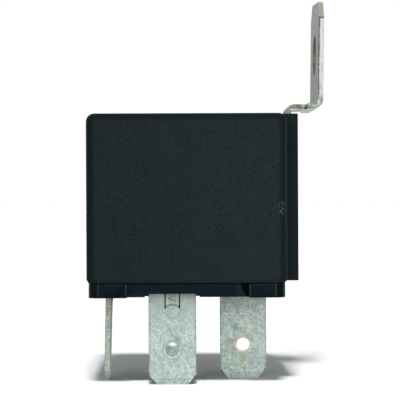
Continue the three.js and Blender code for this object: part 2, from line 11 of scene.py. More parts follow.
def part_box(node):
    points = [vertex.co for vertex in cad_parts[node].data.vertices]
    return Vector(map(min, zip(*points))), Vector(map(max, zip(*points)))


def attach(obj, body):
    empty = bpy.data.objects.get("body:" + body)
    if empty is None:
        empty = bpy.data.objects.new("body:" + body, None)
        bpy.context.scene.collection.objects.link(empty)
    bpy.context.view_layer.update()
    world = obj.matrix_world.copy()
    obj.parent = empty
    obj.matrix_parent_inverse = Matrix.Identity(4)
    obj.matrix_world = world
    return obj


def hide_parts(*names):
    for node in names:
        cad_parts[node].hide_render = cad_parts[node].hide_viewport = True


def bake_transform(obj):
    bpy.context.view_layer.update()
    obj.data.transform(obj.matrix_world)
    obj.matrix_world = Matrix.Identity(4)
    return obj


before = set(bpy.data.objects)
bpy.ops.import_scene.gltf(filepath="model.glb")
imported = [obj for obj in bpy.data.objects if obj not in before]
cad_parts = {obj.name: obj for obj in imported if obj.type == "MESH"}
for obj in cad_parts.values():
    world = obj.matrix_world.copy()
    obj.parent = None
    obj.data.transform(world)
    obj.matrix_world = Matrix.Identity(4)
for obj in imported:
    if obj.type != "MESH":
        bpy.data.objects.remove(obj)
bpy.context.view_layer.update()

bl_info = {
    "name": "Plug-in relay",
    "version": (1, 0, 0),
    "blender": (4, 5, 0),
    "location": "3D View > Sidebar > Relay",
    "description": "Builds the pieces of a plug-in relay round its packed frame",
    "category": "Object",
}

MM = 0.001
STATIC = "relay_body"
SWINGING = "armature"

# Sizes of the frame's own parts, in millimetres.
BLADE_LENGTH, BLADE_HALF_WIDTH, BLADE_HALF_THICK = 11.65, 3.15, 0.4
HOLE_RADIUS, HOLE_Z = 0.9, -11.65 + 4.6
LANCE_FOOT, LANCE_LENGTH, LANCE_HALF_WIDTH, LANCE_RISE = 1.85, 3.15, 0.85, 0.62
BRACKET_LEAN, BRACKET_SHELF, BRACKET_CORNER = math.radians(0.9), 25.25, 2.2
BRACKET_HOLE_Z, TONGUE_HALF_WIDTH = 32.45, 3.7
RECESS_DEPTH, RECESS_START, RECESS_LENGTH = 0.8, -7.5, 14.4
CORE_RADIUS = 3.7

# The stage, in metres and radians.
LENS, SENSOR = 163.26, 36
LOW_LIGHT, SIDE_LIGHT, HIGH_LIGHT = math.radians(9), math.radians(25), math.radians(48)
PANEL_WIDTH, PANEL_HEIGHT, PANEL_AWAY, PANEL_TILT = 0.2, 0.7, 1.0, math.radians(-9)
RIGHT_PANEL_SHARE = 1.3

# Each blade: its CAD node, its piece, and the way its broad face looks.
BLADES = {
    "terminal_30": ("blade_30", "Y"),
    "terminal_85": ("blade_85", "Y"),
    "terminal_86": ("blade_86", "Y"),
    "terminal_87": ("blade_87", "X"),
}


# ---------------------------------------------------------------- settings


def length(name, about, size, least, most, precision=5):
    """A length whose default and limits are given in millimetres."""
    return bpy.props.FloatProperty(
        name=name, description=about, default=size * MM, min=least * MM, max=most * MM,
        unit="LENGTH", precision=precision)


def tint(name, about, colour):
    return bpy.props.FloatVectorProperty(
        name=name, description=about, default=colour, subtype="COLOR", size=3, min=0, max=1)


def angle(name, about, degrees):
    return bpy.props.FloatProperty(
        name=name, description=about, default=math.radians(degrees), subtype="ANGLE")


def power(name, about, value, most=20):
    return bpy.props.FloatProperty(name=name, description=about, default=value, min=0, max=most)


class RelaySizes(bpy.types.PropertyGroup):
    """Sizes of the details that the frame leaves plain."""

    edge_radius: length(
        "Moulded edge", "Radius on the small edges of the cover and base", 0.1, 0.02, 0.3)
    metal_radius: length(
        "Sheared edge", "Rounding on the edges of the sheet metal", 0.07, 0.02, 0.2)
    coined_band: length(
        "Coined band", "Width of the bevel along each blade's long edges", 0.28, 0.1, 0.6)
    coined_ring: length(
        "Coined ring", "Outer radius of the shallow ring round a locking hole", 1.25, 1, 1.6)
    rib_pitch: length(
        "Rib pitch", "Distance between the fine ribs in the base's recess", 0.3, 0.15, 1)
    rib_height: length("Rib height", "How far each fine rib stands out", 0.1, 0.01, 0.2)
    wire_pitch: length("Wire pitch", "Distance between the turns seen on the coil", 0.2, 0.1, 0.6)


class RelayColours(bpy.types.PropertyGroup):
    """Main colours of the finishes."""

    cover: tint("Cover", "Moulded plastic of the cover", (0.0075, 0.0155, 0.019))
    base: tint("Base", "Moulded plastic of the base", (0.0018, 0.0068, 0.0088))
    recess: tint("Recess", "Ribbed recess of the base", (0.005, 0.0125, 0.017))
    tin: tint("Tin", "Plating of the blades", (0.575, 0.65, 0.60))
    stain: tint("Stain", "Warm tarnish on the plating", (0.42, 0.39, 0.28))
    zinc: tint("Zinc", "Plating of the bracket", (0.55, 0.58, 0.54))


class RelayStage(bpy.types.PropertyGroup):
    """Camera and light."""

    camera_distance: length(
        "Camera distance", "From the relay's centre to the camera", 248.4, 50, 2000, 4)
    camera_side: length(
        "Camera offset", "How far the camera stands to the right of the centre", 1.91, -50, 50)
    camera_height: length(
        "Camera height", "Height of the camera above the base's underside", 12.72, -100, 500)
    relay_turn: angle("Turn", "How far the camera has moved round the relay", -0.8)
    roll: angle("Roll", "Small roll of the camera", -0.25)
    sun_elevation: angle(
        "Key elevation", "Height of the key light, which comes from the front", 52)
    sun_power: power("Key power", "Strength of the key light", 3.4)
    top_power: power("Top fill", "Strength of the soft light from the upper front", 0.55)
    fill_power: power(
        "Low fills", "Strength of the soft low lights, two in front and one behind", 0.65)
    panel_angle: angle("Panel angle", "How far the two light panels stand to the sides", 16.5)
    panel_power: power("Panel power", "Power of the left light panel", 1.5, 100)


# ---------------------------------------------------------------- shader tools


def feed(tree, socket, value):
    """Links a socket to another, or sets its value."""
    if isinstance(value, bpy.types.NodeSocket):
        tree.links.new(value, socket)
    else:
        socket.default_value = value


def add_node(tree, kind, inputs=None, **settings):
    """A shader node with its settings, and its inputs linked to sockets or set to values."""
    made = tree.nodes.new("ShaderNode" + kind)
    for name, value in settings.items():
        setattr(made, name, value)
    for key, value in (inputs or {}).items():
        feed(tree, made.inputs[key], value)
    return made


def colour4(colour, share=None):
    """A colour with its alpha, and made lighter or darker by a share."""
    if share is not None:
        colour = [min(1, part * share) for part in colour]
    return (*colour[:3], 1)


def maths(tree, operation, first, second=0.0, clamp=False):
    made = add_node(tree, "Math", {0: first, 1: second}, operation=operation, use_clamp=clamp)
    return made.outputs[0]


def times(tree, first, second):
    return maths(tree, "MULTIPLY", first, second)


def along_axis(tree, position, axis):
    return add_node(tree, "SeparateXYZ", {0: position}).outputs[axis]


def from_middle(tree, position, axis):
    """How far a place is from the middle along an axis, to either side."""
    return maths(tree, "ABSOLUTE", along_axis(tree, position, axis))


def remap(tree, value, low, high, to_low=0.0, to_high=1.0):
    """value from low..high to to_low..to_high, smoothly and without passing them."""
    made = add_node(
        tree, "MapRange",
        {"Value": value, "From Min": low, "From Max": high, "To Min": to_low, "To Max": to_high},
        interpolation_type="SMOOTHSTEP",
    )
    return made.outputs["Result"]


def blend_colours(tree, factor, first, second, blend_type="MIX"):
    made = tree.nodes.new("ShaderNodeMix")
    made.data_type = "RGBA"
    made.blend_type = blend_type
    colours = [socket for socket in made.inputs if socket.type == "RGBA"]
    for socket, value in ((made.inputs[0], factor), (colours[0], first), (colours[1], second)):
        feed(tree, socket, value)
    return next(socket for socket in made.outputs if socket.type == "RGBA")


def noise(tree, position, scale, detail=3.0, roughness=0.55, distortion=0.0):
    made = add_node(
        tree, "TexNoise",
        {"Vector": position, "Scale": scale, "Detail": detail, "Roughness": roughness,
         "Distortion": distortion},
    )
    return made.outputs["Fac"]


def stretched(tree, position, scale, turn=(0, 0, 0)):
    made = add_node(tree, "Mapping", {"Vector": position, "Scale": scale, "Rotation": turn})
    return made.outputs["Vector"]


def nearness(tree, position, centre, reach, scale=(1, 1, 1)):
    """1 at the centre, falling to 0 at the reach, in millimetres. A scale of 0 ignores an axis."""
    moved = add_node(
        tree, "VectorMath", {0: position, 1: centre}, operation="SUBTRACT").outputs["Vector"]
    flat = add_node(tree, "VectorMath", {0: moved, 1: scale}, operation="MULTIPLY")
    size = add_node(tree, "VectorMath", {0: flat.outputs["Vector"]}, operation="LENGTH")
    return remap(tree, size.outputs["Value"], 0.0, reach, 1.0, 0.0)


def new_group(name, inputs, outputs):
    """A shader node group with float or vector sockets."""
    tree = bpy.data.node_groups.new(name, "ShaderNodeTree")
    kinds = {"float": "NodeSocketFloat", "vector": "NodeSocketVector", "colour": "NodeSocketColor"}
    for label, kind, value in inputs:
        socket = tree.interface.new_socket(name=label, in_out="INPUT", socket_type=kinds[kind])
        if value is not None:
            socket.default_value = value
    for label, kind in outputs:
        tree.interface.new_socket(name=label, in_out="OUTPUT", socket_type=kinds[kind])
    return tree, tree.nodes.new("NodeGroupInput").outputs, tree.nodes.new("NodeGroupOutput").inputs


def use_group(tree, group, inputs):
    made = tree.nodes.new("ShaderNodeGroup")
    made.node_tree = group
    for key, value in inputs.items():
        feed(tree, made.inputs[key], value)
    return made.outputs


def grain_group():
    """The fine matt grain of a spark-eroded mould, with slow changes of tone."""
    if "Moulded grain" in bpy.data.node_groups:
        return bpy.data.node_groups["Moulded grain"]
    tree, given, result = new_group(
        "Moulded grain",
        [("Position", "vector", None), ("Grain per mm", "float", 6.0),
         ("Patch per mm", "float", 0.2)],
        [("Height", "float"), ("Grain", "float"), ("Patches", "float"), ("Specks", "float")],
    )
    fine = noise(tree, given["Position"], given["Grain per mm"], 4, 0.65)
    cells = add_node(
        tree, "TexVoronoi", {"Vector": given["Position"], "Scale": given["Grain per mm"]})
    height = maths(tree, "ADD", fine, times(tree, cells.outputs["Distance"], 0.35))
    patches = noise(tree, given["Position"], given["Patch per mm"], 5, 0.6)
    dots = add_node(tree, "TexVoronoi", {"Vector": given["Position"], "Scale": 1.15,
                                         "Randomness": 1.0})
    lucky = remap(tree, add_node(tree, "SeparateColor", {0: dots.outputs["Color"]}).outputs[0],
                  0.72, 0.8)
    specks = times(tree, remap(tree, dots.outputs["Distance"], 0.05, 0.1, 1, 0), lucky)
    for name, value in (("Height", height), ("Grain", fine), ("Patches", patches),
                        ("Specks", specks)):
        tree.links.new(value, result[name])
    return tree


def plating_group():
    """Dull plating: slow patches, fine mottle, dark pits and hair-fine scratches."""
    if "Dull plating" in bpy.data.node_groups:
        return bpy.data.node_groups["Dull plating"]
    tree, given, result = new_group(
        "Dull plating",
        [("Position", "vector", None), ("Patch per mm", "float", 0.8), ("Pits", "float", 1.0),
         ("Scratches", "float", 1.0)],
        [("Height", "float"), ("Mottle", "float"), ("Fine", "float"), ("Pits", "float"),
         ("Scratches", "float"), ("Hue", "float")],
    )
    position = given["Position"]
    mottle = noise(tree, position, given["Patch per mm"], 5, 0.6, 0.6)
    fine = noise(tree, position, 4.2, 4, 0.7)
    hue = noise(tree, position, 0.42, 3, 0.5, 0.8)
    pits = None
    for scale, reach, share in ((4.6, 0.2, 0.5), (2.3, 0.13, 0.72)):
        cells = add_node(tree, "TexVoronoi",
                         {"Vector": position, "Scale": scale, "Randomness": 1.0})
        chance = add_node(tree, "SeparateColor", {0: cells.outputs["Color"]}).outputs[1]
        dots = times(tree, remap(tree, chance, share, share + 0.25),
                     remap(tree, cells.outputs["Distance"], reach, reach * 2.1, 1, 0))
        pits = dots if pits is None else maths(tree, "MAXIMUM", pits, dots)
    # Pits gather in some places and leave others clean.
    crowd = remap(tree, noise(tree, position, 0.9, 3, 0.6), 0.36, 0.62, 0.25, 1)
    pits = times(tree, times(tree, pits, crowd), given["Pits"])
    wander = add_node(tree, "TexNoise", {"Vector": position, "Scale": 0.55, "Detail": 2.0})
    bent = add_node(tree, "VectorMath", {0: position, 1: wander.outputs["Color"]}, operation="ADD")
    scratches = None
    for turn, gate in ((0.7, 0.735), (-0.95, 0.75), (0.15, 0.76)):
        lines = noise(tree, stretched(tree, bent.outputs["Vector"], (3.4, 3.4, 0.22),
                                      (0, turn, turn * 0.6)), 1.6, 2, 0.5)
        mark = remap(tree, lines, gate - 0.045, gate)
        scratches = mark if scratches is None else maths(tree, "MAXIMUM", scratches, mark)
    scratches = times(tree, scratches, given["Scratches"])
    height = maths(tree, "SUBTRACT", fine, times(tree, pits, 0.6))
    height = maths(tree, "SUBTRACT", height, times(tree, scratches, 0.4))
    for name, value in (("Height", height), ("Mottle", mottle), ("Fine", fine), ("Pits", pits),
                        ("Scratches", scratches), ("Hue", hue)):
        tree.links.new(value, result[name])
    return tree


def new_material(name):
    """An empty material: its tree, its Principled shader and its position in millimetres."""
    material = bpy.data.materials.new(name)
    material.use_nodes = True
    tree = material.node_tree
    tree.nodes.clear()
    shader = tree.nodes.new("ShaderNodeBsdfPrincipled")
    output = tree.nodes.new("ShaderNodeOutputMaterial")
    tree.links.new(shader.outputs[0], output.inputs["Surface"])
    coordinates = tree.nodes.new("ShaderNodeTexCoord")
    millimetres = stretched(tree, coordinates.outputs["Object"], (1000, 1000, 1000))
    return material, tree, shader, millimetres


def finish_shader(tree, shader, colour, roughness, height, bump, depth, metallic=None):
    tree.links.new(colour, shader.inputs["Base Color"])
    tree.links.new(roughness, shader.inputs["Roughness"])
    relief = add_node(tree, "Bump", {"Height": height, "Strength": bump, "Distance": depth})
    tree.links.new(relief.outputs["Normal"], shader.inputs["Normal"])
    if metallic is not None:
        tree.links.new(metallic, shader.inputs["Metallic"])


def edge_mask(tree, position, reach, top):
    """1 where a box's rounded edges are: beyond the reach on two of its three axes."""
    parts = add_node(tree, "SeparateXYZ", {0: position})
    total = None
    for axis, limit in ((0, reach), (1, reach), (2, top)):
        value = parts.outputs[axis]
        if axis < 2:
            value = maths(tree, "ABSOLUTE", value)
        beyond = remap(tree, value, limit - 0.15, limit + 0.35)
        total = beyond if total is None else maths(tree, "ADD", total, beyond)
    return maths(tree, "SUBTRACT", total, 1.0, clamp=True)


def moulded_plastic(name, colour, roughness, patch, specks, grain=6.0, bump=0.35, scuff=None,
                    smooth_shaded_edges=None, shine=0.5, shade_ramp=None, patches=(), contrast=0.2):
    """Matt moulded plastic with grain, slow changes of tone and a few pale specks.

    smooth_shaded_edges is (reach, top) of a box whose rounded edges are less matt and carry
    a painted shade. shade_ramp is (axis, low, high, share), a painted shade: the tone rises from
    that share of itself to all between two places.
    Each of patches is (mask function, colour), laid over the tone in turn.
    """
    material, tree, shader, position = new_material(name)
    texture = use_group(tree, grain_group(),
                        {"Position": position, "Grain per mm": grain, "Patch per mm": patch})
    dark = colour4(colour, 1 - contrast)
    light = colour4(colour, 1 + contrast)
    tone = maths(tree, "ADD", times(tree, texture["Patches"], 0.18),
                 times(tree, texture["Grain"], 0.82))
    shade = blend_colours(tree, remap(tree, tone, 0.37, 0.63), dark, light)
    pale = colour4([min(1, c * 2.2 + 0.008) for c in colour])
    shade = blend_colours(tree, times(tree, texture["Specks"], specks), shade, pale)
    rough = remap(tree, texture["Patches"], 0.25, 0.75, roughness - 0.04, roughness + 0.04)
    height = texture["Height"]
    if smooth_shaded_edges:
        edge = edge_mask(tree, position, *smooth_shaded_edges)
        # Painted shade: the rounded edges get a deeper tone.
        shade = blend_colours(tree, edge, shade, colour4(colour, 0.68))
        rough = maths(tree, "SUBTRACT", rough, times(tree, edge, 0.08))
    for where, other in patches:
        shade = blend_colours(tree, where(tree, position), shade, colour4(other))
    # Painted shade: the tone ramps along one axis, as the light falls.
    if shade_ramp:
        axis, low, high, share = shade_ramp
        rise = along_axis(tree, position, axis)
        shade = blend_colours(tree, 1.0, shade, remap(tree, rise, low, high, share, 1), "MULTIPLY")
    if scuff:
        near = nearness(tree, position, scuff, 0.95, (0.9, 0.9, 0.55))
        ragged = remap(tree, noise(tree, position, 3.1, 3, 0.6), 0.5, 0.6)
        mark = times(tree, remap(tree, near, 0.25, 0.55), ragged)
        shade = blend_colours(tree, times(tree, mark, 0.5), shade, (0.09, 0.1, 0.1, 1))
        height = maths(tree, "SUBTRACT", height, mark)
    shader.inputs["Specular IOR Level"].default_value = shine
    finish_shader(tree, shader, shade, rough, height, bump, 0.00003)
    return material


def box_mask(tree, position, centre, half, soft=0.05):
    """1 inside a box, falling to 0 over a soft edge. A half size of 0 ignores an axis."""
    moved = add_node(
        tree, "VectorMath", {0: position, 1: centre}, operation="SUBTRACT").outputs["Vector"]
    parts = add_node(tree, "SeparateXYZ", {0: moved})
    mask = None
    for axis, reach in enumerate(half):
        if not reach:
            continue
        away = maths(tree, "ABSOLUTE", parts.outputs[axis])
        side = remap(tree, away, reach - soft, reach + soft, 1, 0)
        mask = side if mask is None else times(tree, mask, side)
    return mask


def arc_mask(tree, position, centre, radius, width, scale=(1, 0, 1)):
    """1 along a circle's line, falling to 0 over its width. A scale of 0 ignores an axis."""
    moved = add_node(
        tree, "VectorMath", {0: position, 1: centre}, operation="SUBTRACT").outputs["Vector"]
    flat = add_node(tree, "VectorMath", {0: moved, 1: scale}, operation="MULTIPLY")
    size = add_node(tree, "VectorMath", {0: flat.outputs["Vector"]}, operation="LENGTH")
    away = maths(tree, "ABSOLUTE", maths(tree, "SUBTRACT", size.outputs["Value"], radius))
    return remap(tree, away, width * 0.3, width, 1, 0)


def plated_metal(name, colour, roughness=0.46, patch=1.4, pits=1.0, scratches=1.0, contrast=1.0,
                 metallic=0.45, layers=None):
    """Dull plated metal. layers(tree, position) gives (mask, strength, colour) to lay over it."""
    material, tree, shader, position = new_material(name)
    texture = use_group(tree, plating_group(), {"Position": position, "Patch per mm": patch,
                                                "Pits": pits, "Scratches": scratches})
    low = colour4(colour, 1 - 0.13 * contrast)
    high = colour4(colour, 1 + 0.13 * contrast)
    shade = blend_colours(tree, remap(tree, texture["Mottle"], 0.34, 0.64), low, high)
    grains = remap(tree, texture["Fine"], 0.32, 0.68, 1 - 0.3 * contrast, 1 + 0.22 * contrast)
    shade = blend_colours(tree, 1.0, shade, grains, "MULTIPLY")
    cool = colour4([0.97, 1.0, 1.0])
    warm = colour4([1.0, 1.0, 0.975])
    tint = blend_colours(tree, remap(tree, texture["Hue"], 0.38, 0.62), cool, warm)
    shade = blend_colours(tree, 1.0, shade, tint, "MULTIPLY")
    shade = blend_colours(tree, times(tree, texture["Pits"], 0.9), shade, colour4(colour, 0.3))
    shade = blend_colours(tree, times(tree, texture["Scratches"], 0.35), shade,
                          colour4(colour, 0.55))
    rough = remap(tree, texture["Mottle"], 0.3, 0.7, roughness + 0.08, roughness - 0.06)
    for mask, strength, over in (layers(tree, position) if layers else ()):
        shade = blend_colours(tree, times(tree, mask, strength), shade, colour4(over))
    shader.inputs["Metallic"].default_value = metallic
    finish_shader(tree, shader, shade, rough, texture["Height"], 0.35, 0.00003)
    return material


def bright_metal(name, colour, roughness, lay=(1, 1, 0.06), metallic=1.0):
    """Rolled or turned metal with a fine lay along one direction and slow tarnish."""
    material, tree, shader, position = new_material(name)
    lines = noise(tree, stretched(tree, position, lay), 9, 3, 0.6)
    tarnish = noise(tree, position, 0.5, 4, 0.6)
    shade = blend_colours(tree, remap(tree, tarnish, 0.35, 0.7), colour4(colour),
                          colour4(colour, 0.74))
    shade = blend_colours(tree, remap(tree, lines, 0.45, 0.75, 0, 0.35), shade,
                          colour4(colour, 0.62))
    rough = remap(tree, lines, 0.3, 0.7, roughness - 0.05, roughness + 0.1)
    shader.inputs["Metallic"].default_value = metallic
    finish_shader(tree, shader, shade, rough, lines, 0.2, 0.00002)
    return material


def enamelled_wire(name, colour):
    """Copper wire under clear red-brown enamel, with a coat."""
    material, tree, shader, position = new_material(name)
    tone = noise(tree, position, 1.4, 4, 0.6)
    shade = blend_colours(tree, remap(tree, tone, 0.3, 0.7), colour4(colour), colour4(colour, 0.6))
    rough = remap(tree, tone, 0.3, 0.7, 0.22, 0.36)
    shader.inputs["Metallic"].default_value = 0.85
    shader.inputs["Coat Weight"].default_value = 0.5
    finish_shader(tree, shader, shade, rough, tone, 0.1, 0.00002)
    return material


def resistor_paint(name):
    """Pale blue lacquer with generic colour rings round the body."""
    material, tree, shader, position = new_material(name)
    along = along_axis(tree, position, "Y")
    tone = noise(tree, position, 3, 4, 0.6)
    shade = blend_colours(tree, remap(tree, tone, 0.3, 0.7), (0.22, 0.36, 0.45, 1),
                          (0.3, 0.46, 0.54, 1))
    rings = ((-2.1, (0.28, 0.1, 0.03, 1)), (-1.0, (0.02, 0.02, 0.02, 1)),
             (0.0, (0.5, 0.05, 0.03, 1)), (2.0, (0.45, 0.3, 0.08, 1)))
    for centre, ring in rings:
        away = maths(tree, "ABSOLUTE", maths(tree, "SUBTRACT", along, centre))
        shade = blend_colours(tree, remap(tree, away, 0.22, 0.28, 1, 0), shade, ring)
    rough = remap(tree, tone, 0.3, 0.7, 0.3, 0.42)
    finish_shader(tree, shader, shade, rough, tone, 0.15, 0.00003)
    return material


# ---------------------------------------------------------------- mesh tools


def merged_copy(node):
    """A CAD node's solid with its triangles joined up and its flat faces made whole."""
    bm = bmesh.new()
    bm.from_mesh(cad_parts[node].data)
    bmesh.ops.remove_doubles(bm, verts=bm.verts, dist=0.002 * MM)
    bmesh.ops.dissolve_limit(bm, angle_limit=math.radians(0.4), verts=bm.verts, edges=bm.edges)
    return bm


def soften(bm, width, chosen, segments=2):
    """Rounds the chosen edges and returns the new faces."""
    edges = [edge for edge in bm.edges if len(edge.link_faces) == 2 and chosen(edge)]
    if not edges:
        raise RuntimeError("there is no edge here to round")
    made = bmesh.ops.bevel(
        bm, geom=edges, offset=width, offset_type="OFFSET", segments=segments, profile=0.5,
        affect="EDGES", clamp_overlap=False, material=-1,
    )
    return made["faces"]


def sharp(degrees, shortest=0.0):
    """Chooses outward edges that turn by more than this angle and are long enough."""
    turn = math.radians(degrees)
    return lambda edge: (
        edge.is_convex and edge.calc_face_angle(0) > turn and edge.calc_length() > shortest)


def add_piece(name, bm, material, body, nodes, smooth=40):
    """Turns a bmesh into a finished piece that stands for its CAD nodes."""
    bm.normal_update()
    for face in bm.faces:
        face.smooth = True
    for edge in bm.edges:
        edge.smooth = edge.calc_face_angle(math.pi) < math.radians(smooth)
    mesh = bpy.data.meshes.new(name)
    bm.to_mesh(mesh)
    bm.free()
    mesh.materials.append(material)
    piece = bpy.data.objects.new(name, mesh)
    bpy.context.scene.collection.objects.link(piece)
    weighted = piece.modifiers.new("weighted", "WEIGHTED_NORMAL")
    weighted.keep_sharp = True
    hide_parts(*nodes)
    if body:
        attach(piece, body)
    return piece


def paint_node(node, material):
    """Gives a CAD node that keeps its shape its finish."""
    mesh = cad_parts[node].data
    mesh.materials.clear()
    mesh.materials.append(material)


# ---------------------------------------------------------------- pieces


class RELAY_OT_cover(bpy.types.Operator):
    """Moulded cover with the bracket's pocket"""

    bl_idname = "relay.cover"
    bl_label = "Cover"

    def execute(self, context):
        sizes, colours = context.scene.relay_sizes, context.scene.relay_colours
        bm = merged_copy("cover")
        low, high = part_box("cover")
        reach = (high.y - low.y) / 2

        def rim_or_pocket(edge):
            middle = (edge.verts[0].co + edge.verts[1].co) / 2
            pocket = middle.x > reach - 0.4 * MM and abs(middle.y) < 9.5 * MM
            return pocket and sharp(35, 0.4 * MM)(edge)

        soften(bm, sizes.edge_radius, rim_or_pocket)
        scuff = (12.45, -12.85, 11.7)

        # Painted shade: the cover's wall beside the bracket's pocket gets a deeper tone, as shade
        # falls there.
        def pocket_shade(tree, position):
            side = along_axis(tree, position, "X")
            return remap(tree, side, 13.12, 13.3)

        pocket_shade_colour = [c * 0.7 for c in colours.cover]
        # Painted shade: the rounded edges get a deeper tone, and the cover's tone deepens towards
        # its left side, as the light falls. The edges are also truly smoother.
        finish = moulded_plastic("cover plastic", colours.cover, 0.6, 0.35, 0.5, scuff=scuff,
                                 patches=((pocket_shade, pocket_shade_colour),),
                                 bump=0.6, contrast=0.4, smooth_shaded_edges=(11.9, 22.9), shine=0.18,
                                 shade_ramp=("X", -14, 15, 0.78))
        add_piece("cover_shell", bm, finish, STATIC, ["cover"], smooth=32)
        return {"FINISHED"}


class RELAY_OT_base(bpy.types.Operator):
    """Moulded base, and the fine ribs in its front and back recesses"""

    bl_idname = "relay.base"
    bl_label = "Base"

    def execute(self, context):
        sizes, colours = context.scene.relay_sizes, context.scene.relay_colours
        bm = merged_copy("base")
        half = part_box("base")[1].y

        def outer(edge):
            middle = (edge.verts[0].co + edge.verts[1].co) / 2
            outside = max(abs(middle.x), abs(middle.y)) > half - 0.1 * MM
            return outside and middle.z < 1.9 * MM and sharp(40, 0.3 * MM)(edge)

        soften(bm, sizes.edge_radius * 1.5, outer, 3)
        wall = half - RECESS_DEPTH * MM
        ribs = int(RECESS_LENGTH * MM / sizes.rib_pitch)
        for side in (-1, 1):
            for i in range(ribs):
                x = (RECESS_START * MM + i * sizes.rib_pitch) * -side
                # The ribs start higher over the flares of the two coil blades.
                over_flare = -7.4 * MM < x < 1.6 * MM
                foot = 0.62 * MM if over_flare else 0.22 * MM
                head = 1.8 * MM
                place = Matrix.Translation((x, side * wall, (foot + head) / 2))
                size = Matrix.Diagonal(
                    (sizes.rib_pitch * 0.5, sizes.rib_height * 2, head - foot, 1))
                made = bmesh.ops.create_cube(bm, size=1, matrix=place @ size)
                edges = dict.fromkeys(e for v in made["verts"] for e in v.link_edges)
                front = [edge for edge in edges
                         if all(abs(v.co.y) > wall for v in edge.verts)
                         and abs(edge.verts[0].co.z - edge.verts[1].co.z) > MM]
                bmesh.ops.bevel(bm, geom=front, offset=sizes.rib_height * 0.7, segments=1,
                                profile=0.5, affect="EDGES", material=-1)

        def recess(tree, position):
            return times(tree, box_mask(tree, position, (0, 0, 0), (7.9, 0, 0), 0.1),
                         remap(tree, from_middle(tree, position, "Y"), 12.6, 12.3))

        # Painted shadow: the vent's opening is painted black, where the inside of the slot lies in
        # shade.
        def vent_shadow(tree, position):
            return times(tree, box_mask(tree, position, (7.55, 0, 0), (0.56, 0, 0)),
                         remap(tree, from_middle(tree, position, "Y"), 12.08, 11.98))

        # Painted shadow: a black line along the base's top edge, in the gap under the cover.
        def gap_shadow(tree, position):
            return box_mask(tree, position, (0, 0, 1.9), (0, 0, 0.1), 0.02)

        # Painted highlight: thin pale lines on the inner ends of the two front blocks.
        def block_end_highlights(tree, position):
            ends = maths(tree, "MAXIMUM", *(
                box_mask(tree, position, (x, 0, 0.95), (0.07, 0, 0.75)) for x in (-7.93, 8.18)))
            return times(tree, ends, remap(tree, from_middle(tree, position, "Y"), 12.6, 12.7))

        shadow_black, pale = (0.0004, 0.0006, 0.0006), (0.019, 0.032, 0.036)
        # Painted shade: the base's tone deepens towards its bottom, as the light comes from above.
        finish = moulded_plastic("base plastic", colours.base, 0.25, 0.35, 0.2, grain=9.0,
                                 bump=0.08, shade_ramp=("Z", 0.2, 1.9, 0.8), shine=0.2,
                                 patches=((recess, colours.recess), (vent_shadow, shadow_black),
                                          (block_end_highlights, pale), (gap_shadow, shadow_black)))
        add_piece("base_plate", bm, finish, STATIC, ["base"], smooth=32)
        return {"FINISHED"}


def mark_makers(tree, position):
    """The mask functions with their tree and position already given."""
    placed = (partial(make, tree, position) for make in (box_mask, arc_mask, nearness, noise))
    return (*placed, partial(times, tree), partial(remap, tree))


